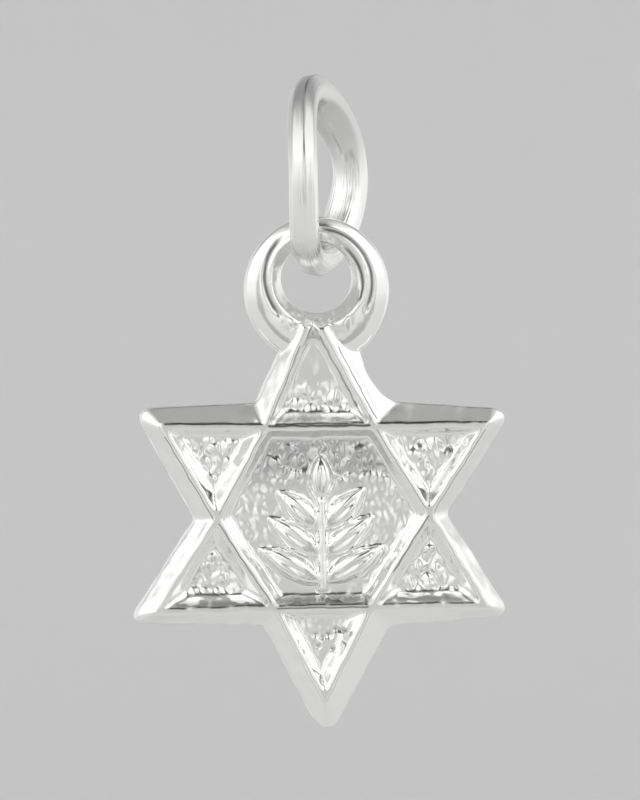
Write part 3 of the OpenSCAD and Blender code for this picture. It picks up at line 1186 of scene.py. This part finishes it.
painted_line_group, given, result = new_group(
    "painted dark line",
    {"Place": "Vector", "Start": "Vector", "End": "Vector", "Half width": "Float", "Dark": "Float"},
    {"Mask": "Float"},
)
from_start = vector(painted_line_group, (-800, 100), "SUBTRACT", given["Place"], given["Start"])
whole = vector(painted_line_group, (-800, -100), "SUBTRACT", given["End"], given["Start"])
part_way = vector(painted_line_group, (-600, 100), "DOT_PRODUCT", from_start, whole)
whole_way = vector(painted_line_group, (-600, -100), "DOT_PRODUCT", whole, whole)
share_way = node(
    painted_line_group, "ShaderNodeMath", (-400, 0), {0: part_way, 1: whole_way}, operation="DIVIDE", use_clamp=True
).outputs[0]
nearest = scaled(painted_line_group, (-200, 0), whole, share_way)
off_line = vector(painted_line_group, (0, 0), "SUBTRACT", from_start, nearest)
distance = vector(painted_line_group, (200, 0), "LENGTH", off_line)
mask = carried(painted_line_group, (400, 0), distance, 0.0, given["Half width"], given["Dark"], 0.0)
painted_line_group.links.new(mask, result.inputs["Mask"])
print("Nodes of a line:", len(painted_line_group.nodes))

# %% List the lines
# Each line: the crest corners that it runs between, how far it lies to the left of that way in mm, the shares
# of the way where it starts and ends, half its width in mm, and how dark it is
# Painted dark reflections along the crests, and wider bands of painted shade on some of the walls
PAINTED_LINES = [
    (5, 4, 0.10, 0.03, 0.97, 0.055, 0.75),
    (4, 2, 0.03, 0.03, 0.95, 0.090, 0.90),
    (2, 1, 0.10, 0.03, 0.96, 0.065, 0.75),
    (5, 6, -0.10, 0.10, 0.98, 0.045, 0.50),
    (4, 6, 0.0, 0.08, 0.94, 0.045, 0.30),
    (6, 8, -0.02, 0.05, 0.92, 0.050, 0.62),
    (2, 0, 0.0, 0.05, 0.92, 0.045, 0.30),
    (0, 10, 0.0, 0.02, 0.62, 0.050, 0.70),
    (4, 3, -0.07, 0.10, 0.70, 0.050, 0.50),
    (2, 3, 0.20, 0.06, 0.80, 0.050, 0.60),
    (2, 3, -0.22, 0.04, 0.66, 0.050, 0.80),
    (2, 3, -0.42, 0.08, 0.52, 0.040, 0.45),
    (8, 10, 0.0, 0.02, 0.96, 0.060, 0.70),
    (1, 0, -0.26, 0.30, 0.86, 0.150, 0.35),
    (8, 10, 0.26, 0.03, 0.97, 0.300, 0.58),
    (7, 8, 0.22, 0.18, 0.92, 0.210, 0.42),
    (10, 11, 0.30, 0.10, 0.90, 0.210, 0.35),
    (1, 0, 0.10, 0.05, 0.97, 0.045, 0.35),
    (4, 2, 0.30, 0.05, 0.95, 0.200, 0.40),
]


def place_painted_line(tree, place, row, point):
    """Places the group of a line with its own ends, and returns its mask."""
    first, last, left, start, end, half_width, dark = row
    a, b = crest_line[first], crest_line[last]
    way = b - a
    beside = Vector((-way.y, way.x)).normalized() * left
    feeds = {"Place": point, "Half width": half_width * MM, "Dark": dark}
    for title, share in (("Start", start), ("End", end)):
        spot = (a + way * share + beside) * MM
        feeds[title] = (spot.x, 0, spot.y + STAR_MID * MM)
    return node(tree, "ShaderNodeGroup", place, feeds, node_tree=painted_line_group).outputs["Mask"]


print("Lines:", len(PAINTED_LINES))

# %% [markdown]
# ## The skin of silver
#
# The casting and the wire are the same silver, so they share what it looks like close up: its colour and
# how painted shade darkens it, a roughness that wanders a little as hand polishing leaves it, and fine
# scratches that fade where the piece is worn. Building that twice would let the two drift apart. It is one
# node group, which each metal places with its own values. The shader itself stays in each material.

# %% Make the node group of the silver
SILVER = (0.93, 0.93, 0.92, 1)
# The dark colour that painted shade mixes into the silver
PAINTED_SHADE_COLOUR = (0.035, 0.035, 0.04, 1)
WANDER_SCALE, WANDER_DETAIL = 900.0, 3.0
WANDER_FROM, WANDER_TO = (0.3, 0.7), (0.75, 1.3)
SCRATCH_DETAIL = 2.0

silver_group, given, result = new_group(
    "silver skin",
    {
        "Place": "Vector",
        "Painted_shade": "Float",
        "Worn from": "Float",
        "Worn to": "Float",
        "Roughness": "Float",
        "Worn roughness": "Float",
        "Scratch place": "Vector",
        "Scratch scale": "Float",
        "Worn scratches": "Float",
    },
    {"Colour": "Color", "Roughness": "Float", "Scratches": "Float"},
)
# Painted shade darkens the silver's colour
colour = mixed(silver_group, (-300, 400), given["Painted_shade"], SILVER, PAINTED_SHADE_COLOUR)

wander = noise(silver_group, (-700, 200), given["Place"], WANDER_SCALE, WANDER_DETAIL)["Fac"]
swing = carried(silver_group, (-500, 200), wander, *WANDER_FROM, *WANDER_TO, shape="LINEAR")
height = axes(silver_group, (-800, 0), given["Place"])["Z"]
worn = (given["Worn from"], given["Worn to"])
dullness = carried(silver_group, (-500, 0), height, *worn, given["Roughness"], given["Worn roughness"])
rough = number(silver_group, (-300, 100), "MULTIPLY", dullness, swing)

scratch_scale = given["Scratch scale"]
scratch = noise(silver_group, (-500, -300), given["Scratch place"], scratch_scale, SCRATCH_DETAIL)["Fac"]
rubbed = carried(silver_group, (-500, -500), height, *worn, 1.0, given["Worn scratches"])
scratches = number(silver_group, (-300, -300), "MULTIPLY", scratch, rubbed)

silver_group.links.new(colour, result.inputs["Colour"])
silver_group.links.new(rough, result.inputs["Roughness"])
silver_group.links.new(scratches, result.inputs["Scratches"])
print("Nodes of the silver:", len(silver_group.nodes))

# %% Helpers for a silver finish
def start_silver(name):
    """A new metal, its node tree, and the sockets that say where a point of the piece is."""
    made = bpy.data.materials.new(name)
    made.use_nodes = True
    made.node_tree.nodes["Principled BSDF"].inputs["Metallic"].default_value = 1.0
    return made, made.node_tree, node(made.node_tree, "ShaderNodeTexCoord", (-2200, 0)).outputs


def finish_silver(tree, skin_feeds, scratch_strength, scratch_deep, cut_in=False):
    """Places the skin of silver with this metal's own values, and feeds the shader from it."""
    skin = node(tree, "ShaderNodeGroup", (-500, 0), skin_feeds, node_tree=silver_group).outputs
    relief = {"Height": skin["Scratches"], "Strength": scratch_strength, "Distance": scratch_deep * MM}
    bump = node(tree, "ShaderNodeBump", (-250, -200), relief, invert=cut_in)
    shader = tree.nodes["Principled BSDF"]
    tree.links.new(skin["Colour"], shader.inputs["Base Color"])
    tree.links.new(skin["Roughness"], shader.inputs["Roughness"])
    tree.links.new(bump.outputs["Normal"], shader.inputs["Normal"])


# Reads the painted shade kept at each vertex
def mesh_painted_shade(tree):
    return node(tree, "ShaderNodeAttribute", (-900, 200), attribute_name="painted_shade").outputs["Fac"]


print("Shared skin:", silver_group.name)

# %% [markdown]
# ## Cast silver
#
# The casting was tumbled bright all over and only the front was polished by hand. The painted dark lines
# are kept to the front. A line that is ruled straight looks drawn, so a little noise first shifts the place
# that is measured. The lines are measured in the star's own plane, with the depth left out, so that they run
# down the bevels as well. Where several meet, the strongest counts, and it is set against the painted shade
# of the mesh.

# %% Dress the casting
CAST_ROUGHNESS = 0.11
WOBBLE_SCALE, WOBBLE_DETAIL, WOBBLE_MM = 1800.0, 1.0, 0.10
PAINTED_LINES_FRONT = (-0.25, -0.40)
LINE_STEP = 180  # from one line's node to the next, down the page

cast_silver, tree, spot = start_silver("cast silver")
wobble = noise(tree, (-2000, -300), spot["Object"], WOBBLE_SCALE, WOBBLE_DETAIL)["Color"]
centred = vector(tree, (-1800, -300), "SUBTRACT", wobble, (0.5, 0.5, 0.5))
shift = scaled(tree, (-1650, -300), centred, WOBBLE_MM * MM)
shifted = vector(tree, (-1500, -200), "ADD", spot["Object"], shift)
in_plane = vector(tree, (-1350, -200), "MULTIPLY", shifted, (1, 0, 1))

# The painted dark lines and bands; where they meet, the darkest counts
painted_line_masks = [place_painted_line(tree, (-1200, -400 - LINE_STEP * i), row, in_plane) for i, row in enumerate(PAINTED_LINES)]
darkest_painted_line = painted_line_masks[0]
for i, other in enumerate(painted_line_masks[1:], start=1):
    darkest_painted_line = number(tree, (-1000, -400 - LINE_STEP * i), "MAXIMUM", darkest_painted_line, other)
depth = axes(tree, (-2000, 200), spot["Object"])["Y"]
on_front = carried(tree, (-1350, -400), depth, *[mm * MM for mm in PAINTED_LINES_FRONT], shape="LINEAR")
shown = number(tree, (-850, -400), "MULTIPLY", darkest_painted_line, on_front)
# The casting is worn alike all over, so both ends of the wear have the same values
# The painted shade of the mesh and the painted lines darken the colour together
finish_silver(tree, {
    "Place": spot["Object"],
    "Painted_shade": number(tree, (-700, 0), "MAXIMUM", mesh_painted_shade(tree), shown),
    "Worn to": 1.0,
    "Roughness": CAST_ROUGHNESS,
    "Worn roughness": CAST_ROUGHNESS,
    "Scratch place": spot["Object"],
    "Scratch scale": 9000.0,
    "Worn scratches": 1.0,
}, scratch_strength=0.12, scratch_deep=0.004)
star.data.materials.clear()
star.data.materials.append(cast_silver)
print("Finish of the star:", cast_silver.name, "with", len(tree.nodes), "nodes")

# %% [markdown]
# ## Drawn silver
#
# The wire keeps fine lines along its length from the plate that it was drawn through. A pattern on the
# object's axes would cut across the bend, so the lines follow the torus's own map, which runs along the
# wire and round it, stretched to few changes along and many round. The plate cut them in, so the wire is
# sunk where the noise is high. The chain rubs the top of the bail: it is duller there, and its lines are
# nearly gone.

# %% Dress the wire
DRAWN = (5.0, 34.0, 1.0)  # how often the drawn lines change along the wire and round it
RUBBED_FROM, RUBBED_TO = -3.4, -1.0

drawn_silver, tree, spot = start_silver("drawn silver")
finish_silver(tree, {
    "Place": spot["Object"],
    "Painted_shade": mesh_painted_shade(tree),
    "Worn from": RUBBED_FROM * MM,
    "Worn to": RUBBED_TO * MM,
    "Roughness": 0.15,
    "Worn roughness": 0.20,
    "Scratch place": vector(tree, (-800, -200), "MULTIPLY", spot["UV"], DRAWN),
    "Scratch scale": 1.0,
    "Worn scratches": 0.2,
}, scratch_strength=0.8, scratch_deep=0.06, cut_in=True)
bail.data.materials.clear()
bail.data.materials.append(drawn_silver)
print("Finish of the bail:", drawn_silver.name, "with", len(tree.nodes), "nodes")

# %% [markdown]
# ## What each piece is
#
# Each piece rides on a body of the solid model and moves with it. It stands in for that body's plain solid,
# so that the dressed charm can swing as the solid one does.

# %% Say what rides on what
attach(star, "star")
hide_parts("star")
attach(bail, "bail")
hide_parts("bail")
print("Pieces:", star.name, "and", bail.name)
